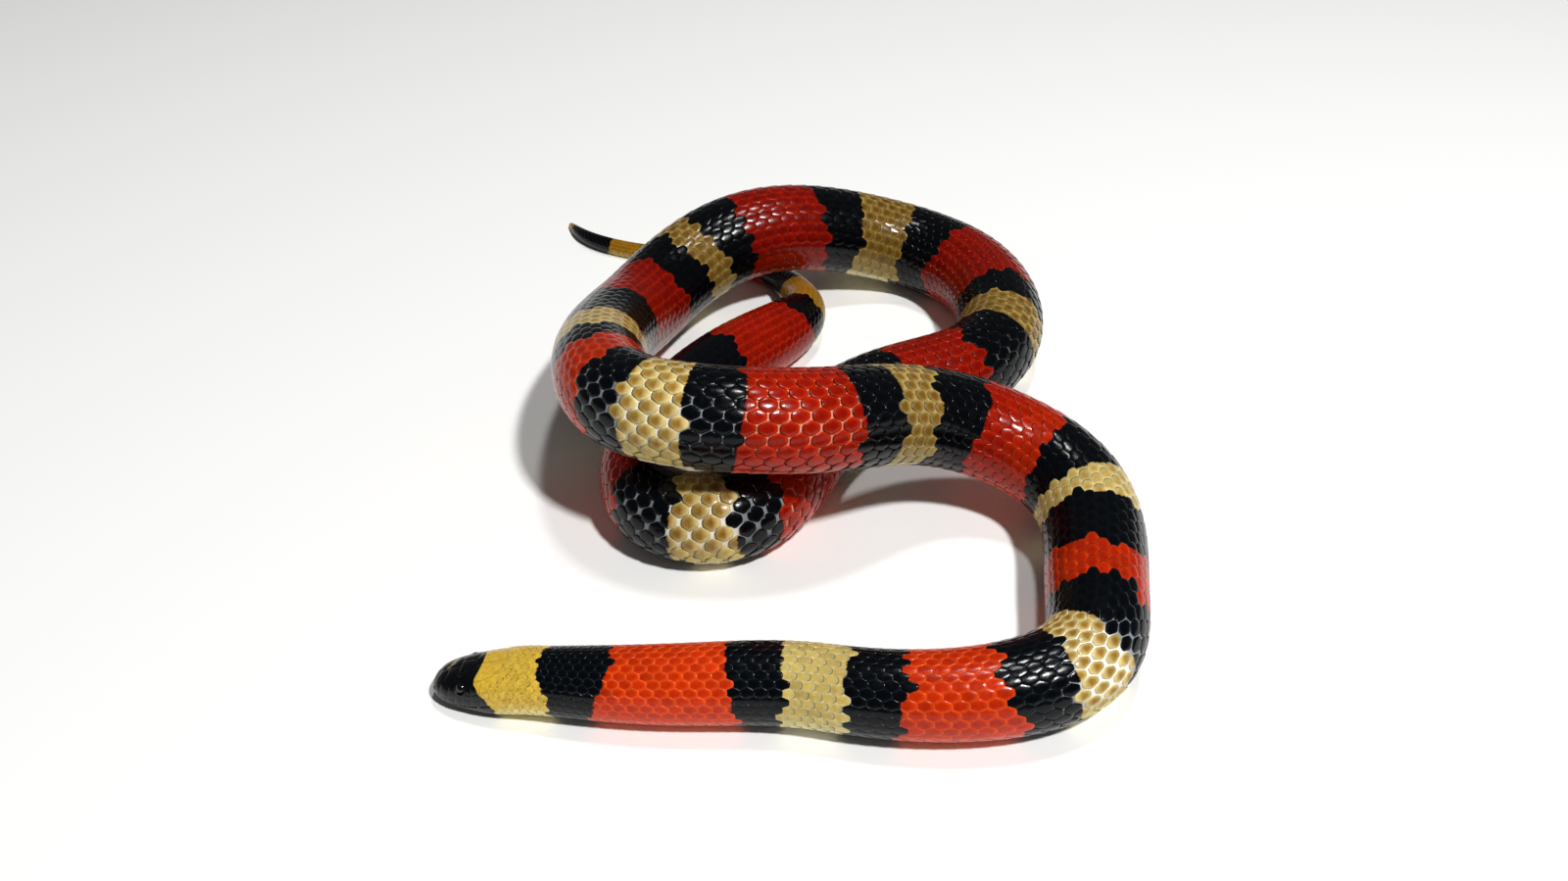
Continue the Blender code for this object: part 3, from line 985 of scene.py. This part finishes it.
def raised_skin(mesh, along):
    """The skin's vertices with the head's relief, resting on the floor, and how deep each is in a seam."""
    mesh.normal_update()
    points = vertex_places(mesh)
    normals = np.array([vertex.normal for vertex in mesh.verts])
    head = along < FINE_END
    height, in_seam = head_relief(points[head], along[head])
    points[head] += normals[head] * height[:, None]
    points[:, 2] = np.maximum(points[:, 2], 0)
    depth = np.zeros(len(points))
    depth[head] = in_seam
    return points, depth


def make_skin(soft, horn):
    """One closed skin over the whole animal: horn on the head, and soft behind it."""
    mesh = skin_grid()
    along = vertex_values(mesh, "along")
    angle = vertex_values(mesh, "angle")
    points, in_seam = raised_skin(mesh, along)
    horny = along < coat_start_at(angle) + HORN_UNDER
    mesh.verts.index_update()
    for face in mesh.faces:
        face.material_index = int(horny[face.verts[0].index])
    data = as_data("skin", mesh)
    data.vertices.foreach_set("co", (points * MM).ravel())
    colours = skin_colours(along, angle, points) * (1 - SEAM_SHADE * in_seam[:, None])
    write_colours(data, "skin_colour", colours)
    for name in ("along", "angle"):
        data.attributes.remove(data.attributes[name])
    skin = add_piece("skin", data, "scales", soft, horn)
    flesh = [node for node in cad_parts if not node.startswith("eye")]
    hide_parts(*flesh)


def add_foot(mesh, inner, length, width, value):
    """Turns a shape's rim down into the skin, drawn in to these shares, and notes a value for its foot."""
    rim = [edge for edge in mesh.edges if edge.is_boundary]
    for vertex in bmesh.ops.extrude_edge_only(mesh, edges=rim)["geom"]:
        if isinstance(vertex, bmesh.types.BMVert):
            vertex.co = (vertex.co.x * length, vertex.co.y * width, FOOT_RISE)
            inner[vertex] = value


def scale_shape():
    """One scale, one unit long and wide: a rounded hexagon with a turned-down rim and a raised middle. It is
    made facing down, because along, left and out are a left-handed set and turn it over when it is laid."""
    mesh = bmesh.new()
    corners = [mesh.verts.new((length, width, 0)) for length, width in SCALE_PLAN]
    mesh.faces.new(corners)
    bmesh.ops.bevel(mesh, geom=corners, offset=SCALE_CORNER, segments=1, profile=0.5, affect="VERTICES")
    centre = mesh.faces[:][0]
    rings = [[loop.vert for loop in centre.loops]]
    for outer, share in zip(SCALE_RINGS, SCALE_RINGS[1:]):
        bmesh.ops.inset_individual(mesh, faces=[centre], thickness=0)
        rings.append([loop.vert for loop in centre.loops])
        for vertex in rings[-1]:
            vertex.co *= share / outer
    rings.append(bmesh.ops.poke(mesh, faces=[centre])["verts"])
    inner = {}
    for ring, rise, ink in zip(rings, SCALE_DOME, SCALE_INK):
        for vertex in ring:
            vertex.co.z = SCALE_TILT[0] + SCALE_TILT[1] * (vertex.co.x + 0.5) + rise
            inner[vertex] = ink
    add_foot(mesh, inner, SCALE_FOOT, SCALE_FOOT, -1.0)
    return as_arrays(mesh, inner)


def as_arrays(mesh, inner):
    """A small shape as arrays: vertices, corners, corners in each face, and each vertex's inner share."""
    mesh.verts.index_update()
    shape = {
        "points": vertex_places(mesh),
        "corners": np.array([loop.vert.index for face in mesh.faces for loop in face.loops]),
        "sizes": np.array([len(face.verts) for face in mesh.faces]),
        "inner": np.array([inner[vertex] for vertex in mesh.verts]),
    }
    mesh.free()
    return shape


def laid_copies(name, shape, along, angle, middles, patch):
    """One mesh of many copies of a shape, laid on the body by every vertex's place and angle. Every copy has
    its own small patch of the map round its middle."""
    copies = len(middles)
    points = on_body(along, angle, coat_depth(along) * (np.tile(shape["points"][:, 2], copies) - 1))
    spots = np.repeat(middles, len(shape["points"]), axis=0)
    spots += patch * np.tile(shape["points"][:, :2], (copies, 1))
    corners = shape["corners"] + len(shape["points"]) * np.arange(copies)[:, None]
    sizes = np.tile(shape["sizes"], copies)
    data = bpy.data.meshes.new(name)
    data.vertices.add(len(points))
    data.vertices.foreach_set("co", (points * MM).ravel())
    data.loops.add(corners.size)
    data.loops.foreach_set("vertex_index", corners.ravel())
    data.polygons.add(len(sizes))
    data.polygons.foreach_set("loop_start", running_sum(sizes)[:-1])
    data.update(calc_edges=True)
    layer = data.uv_layers.new(name="OFBake")
    layer.uv.foreach_set("vector", spots[corners.ravel()].ravel())
    return data


def stretch_at(along, angle, reach=0.4):
    """How many millimetres one of along is on the skin, which is more outside a bend and less inside it."""
    ahead, behind = (on_body(along + step, angle, 0) for step in (reach, -reach))
    return np.clip(lengths(ahead - behind) / (2 * reach), TIGHTEST, LOOSEST)


def scale_roots():
    """Where every scale grows: along, angle, and the angle between its rows."""
    first = int(np.interp(FIRST_RING, STATIONS, ring_count) * 2)
    last = int(ring_count[-1] * 2) - BARE_HALF_RINGS
    even, spread = ROW_SPREAD
    found = []
    for half_ring in range(first, last):
        along = float(along_at_ring(half_ring / 2))
        gap = float(row_gap_at(np.array([along]))[0])
        edge = math.pi if along < THROAT_END else COAT_EDGE
        for row in range(half_ring % 2 - ROWS, ROWS + 1, 2):
            angle = row * gap * (even + spread * row * row)
            row_angle = gap * (even + 3 * spread * row * row)  # how fast that grows from row to row
            if abs(angle) <= edge and along >= coat_start_at(angle) + COAT_MARGIN:
                found.append((along, angle, row_angle))
    return np.array(found)


def coat_rings(along, angle, pitch, shift, both):
    """Each scale's ring of colour and the one that follows on it, how far its middle is past the edge between
    them, and what its length counts there. A scale of one colour has the same ring twice, and no edge."""
    ring = kind_at(along + shift * pitch, angle)
    next_ring, past = nearest_edge(along, angle)
    both = both & (np.abs(past) < EDGE_REACH * pitch)
    ring[both] = next_ring[both] - 1
    next_ring[~both] = ring[~both]
    return ring, next_ring, np.where(both, past, NO_EDGE), both * pitch


def coat_colours(data, along, angle, pitch, shape, draw):
    """Colours a lot of scales: each has its ring's colour, and some on an edge have part of the next."""
    copies = len(along)
    each = len(shape["points"])
    shift = draw.normal(0, EDGE_RAGGED, copies)
    tone = draw.normal(1, TONE_SPREAD, copies)
    both = draw.random(copies) < PART_COLOURED
    smudge = draw.random(copies)
    ring, next_ring, past, reach = coat_rings(along, angle, pitch, shift, both)
    write_numbers(data, "edge", past[:, None] + reach[:, None] * shape["points"][:, 0])
    along, angle, tone, smudge = (np.repeat(part, each) for part in (along, angle, tone, smudge))
    inner = np.tile(shape["inner"], copies)
    lengthwise = np.tile(shape["points"][:, 0], copies)
    flank = FLANK_SHARE * eased(np.abs(angle), *FLANK_TURNS)
    # painted shade on the free back rim of each scale, for the shadow there
    painted_rim_shade = table_at(PAINTED_BACK_SHADE, along) * (1 - inner / RIM_INK).clip(0, 1)
    # each scale's own tone, with painted shade on its foot and rim at the back
    shade = tone * (1 - np.where(inner < 0, PAINTED_FOOT_SHADE, painted_rim_shade) * eased(lengthwise, *BACK_ENDS))
    pale = PALE_FRONT * (1 - eased(lengthwise, *FRONT_ENDS)) * eased(along, *PALE_STARTS)
    smudge *= (inner == SCALE_INK[-1]) * (1 - flank) * eased(along, *SMUDGE_STARTS)
    inner = inner.clip(0, 1)
    kinds = np.array(ring_kinds)
    for name, rings in (("coat_colour", ring), ("next_colour", next_ring)):
        number = np.repeat(rings, each)
        cream = kinds[number] == "cream"
        ink = inner * (1 - pale * cream)
        colours = mixed(colour_at(along, angle, RIM, number), colour_at(along, angle, CENTRE, number), ink)
        colours = mixed(colours, colour_at(along, angle, FLANK, number), flank)
        colours = mixed(colours, colours * SMUDGE, smudge * cream)
        write_colours(data, name, (colours * shade[:, None]).clip(0, 1))
    collar = kinds[np.repeat(ring, each)] == "collar"
    write_numbers(data, "flecks", collar * (1 - CLEAN_MIDDLE * inner) * (1 - flank))


def make_coat(keratin):
    """All the loose scales, in a few joined pieces."""
    shape = scale_shape()
    roots = scale_roots()
    draw = np.random.default_rng(11)
    u, v, _ = shape["points"].T
    for number, lot in enumerate(np.array_split(roots, COAT_PIECES), 1):
        along, angle, row_angle = lot.T
        pitch = pitch_at(along)
        packing = table_at(PACKING, along) * draw.normal(1, SIZE_SPREAD, (2, len(lot)))
        length = packing[0] * SCALE_LENGTH * pitch / stretch_at(along, angle)
        width = packing[1] * SCALE_WIDTH * row_angle
        laid_along = along[:, None] + u * length[:, None]
        laid_angle = angle[:, None] + v * width[:, None]
        name = f"scales_{number}"
        middles = on_map(along, angle, along)
        data = laid_copies(name, shape, laid_along.ravel(), laid_angle.ravel(), middles, PATCH)
        coat_colours(data, along, angle, pitch, shape, draw)
        add_piece(name, data, "scales", keratin)


def plate_shape():
    """One belly plate, one unit long and two wide, with its ends rounded off and a turned-down rim."""
    mesh = bmesh.new()
    bmesh.ops.create_grid(mesh, x_segments=PLATE_GRID[0], y_segments=PLATE_GRID[1], size=1)
    for vertex in mesh.verts:
        u, v, _ = vertex.co
        length = u / 2 * (1 - PLATE_ENDS * v**6)
        vertex.co = (length, v * (1 - PLATE_BOW * u * u), PLATE_TILT[0] + PLATE_TILT[1] * (length + 0.5))
    bmesh.ops.reverse_faces(mesh, faces=mesh.faces[:])
    inner = {vertex: 1.0 for vertex in mesh.verts}
    add_foot(mesh, inner, *PLATE_FOOT, 0.0)
    return as_arrays(mesh, inner)


def plate_roots():
    """Where every belly plate grows: along, the middle of its angle, half its angle."""
    half = math.pi - COAT_EDGE + PLATE_TUCK
    first = int(np.interp(THROAT_END, STATIONS, ring_count)) + 1
    vent = int(np.interp(VENT, STATIONS, ring_count))
    last = int(ring_count[-1]) - BARE_RINGS
    found = [(ring, math.pi, half) for ring in range(first, vent)]
    for ring in range(vent, last):
        found.append((ring, math.pi - half / 2, half / 2 + PLATE_LAP))
        found.append((ring + 0.5, math.pi + half / 2, half / 2 + PLATE_LAP))
    found = np.array(found)
    found[:, 0] = along_at_ring(found[:, 0])
    return found


def half_turned(angle):
    """The same angle counted from the back, at most half a turn to either side."""
    return (angle + math.pi) % math.tau - math.pi


def make_belly(keratin):
    """The broad plates under the trunk, and the paired ones under the tail."""
    shape = plate_shape()
    along, angle, half = plate_roots().T
    draw = np.random.default_rng(5)
    shift = draw.normal(0, PLATE_RAGGED, len(along))
    tone = draw.normal(1, PLATE_SPREAD, len(along))
    pitch = pitch_at(along)
    u, v, _ = shape["points"].T
    laid_along = (along[:, None] + u * PLATE_LENGTH * pitch[:, None]).ravel()
    laid_angle = half_turned((angle[:, None] + v * half[:, None]).ravel())
    spot_angle = np.where(angle == math.pi, math.pi * MAP_EDGE, half_turned(angle))
    middles = on_map(along, spot_angle, along)
    data = laid_copies("belly_plates", shape, laid_along, laid_angle, middles, PATCH / 2)
    place = np.repeat(along + pitch * shift, len(u))
    colours = colour_at(place, np.abs(laid_angle), BELLY) * np.repeat(tone, len(u))[:, None]
    write_colours(data, "coat_colour", colours.clip(0, 1))
    add_piece("belly_plates", data, "scales", keratin)


def make_eye(side, name, material):
    """An eyeball with its pupil facing out, standing for the plain one."""
    centre, axis = eye_centre(side)
    mesh = bmesh.new()
    round_it, up_it = EYE_GRID
    bmesh.ops.create_uvsphere(mesh, u_segments=round_it, v_segments=up_it, radius=EYE_RADIUS)
    off_axis = [math.hypot(vertex.co.x, vertex.co.y) / EYE_RADIUS for vertex in mesh.verts]
    off_axis = [far if vertex.co.z > 0 else 1.0 for far, vertex in zip(off_axis, mesh.verts)]
    turn = Vector((0, 0, 1)).rotation_difference(Vector(axis)).to_matrix().to_4x4()
    place = Matrix.Translation(Vector(centre) * MM) @ turn @ Matrix.Scale(MM, 4)
    bmesh.ops.transform(mesh, matrix=place, verts=mesh.verts[:])
    data = as_data(name, mesh)
    write_numbers(data, "off_axis", off_axis)
    eye = add_piece(name, data, "eye", material)
    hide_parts(f"eye_{'left' if side > 0 else 'right'}")


# --- the studio ---
def make_floor(paper):
    """The paper that the animal lies on, far wider than the view."""
    mesh = bmesh.new()
    bmesh.ops.create_grid(mesh, x_segments=1, y_segments=1, size=FLOOR_SIZE)
    data = as_data("floor", mesh)
    data.materials.append(paper)
    add_object("floor", data)


def make_camera():
    """A camera in front of the animal that looks down on it."""
    data = bpy.data.cameras.new("camera")
    data.lens = LENS
    data.clip_start = CLOSEST
    camera = add_object("camera", data)
    camera.location = Vector(CAMERA_AT) * MM
    camera.rotation_euler = (math.radians(90 - CAMERA_DOWN), 0, 0)
    bpy.context.scene.camera = camera


def make_lights():
    """Soft lights that all point at the middle of the floor, in a pale room."""
    for name, place, size, power in LIGHTS:
        data = bpy.data.lights.new(name, "AREA")
        data.size = size
        data.energy = power
        light = add_object(name, data)
        light.location = place
        light.rotation_euler = (-Vector(place)).to_track_quat("-Z", "Y").to_euler()
    world = bpy.data.worlds.new("pale_room")
    world.use_nodes = True
    backdrop = world.node_tree.nodes["Background"]
    backdrop.inputs["Color"].default_value = (1, 1, 1, 1)
    backdrop.inputs["Strength"].default_value = ROOM_LIGHT
    bpy.context.scene.world = world


def build():
    """The whole animal, and the studio round it."""
    make_skin(stretch_skin(), head_shield_horn())
    make_coat(smooth_scale_keratin())
    make_belly(belly_plate_keratin())
    eye = wet_eye()
    make_eye(1, "eyeball_left", eye)
    make_eye(-1, "eyeball_right", eye)
    make_floor(studio_paper())
    make_camera()
    make_lights()
    bpy.context.scene.view_settings.view_transform = "Standard"


build()
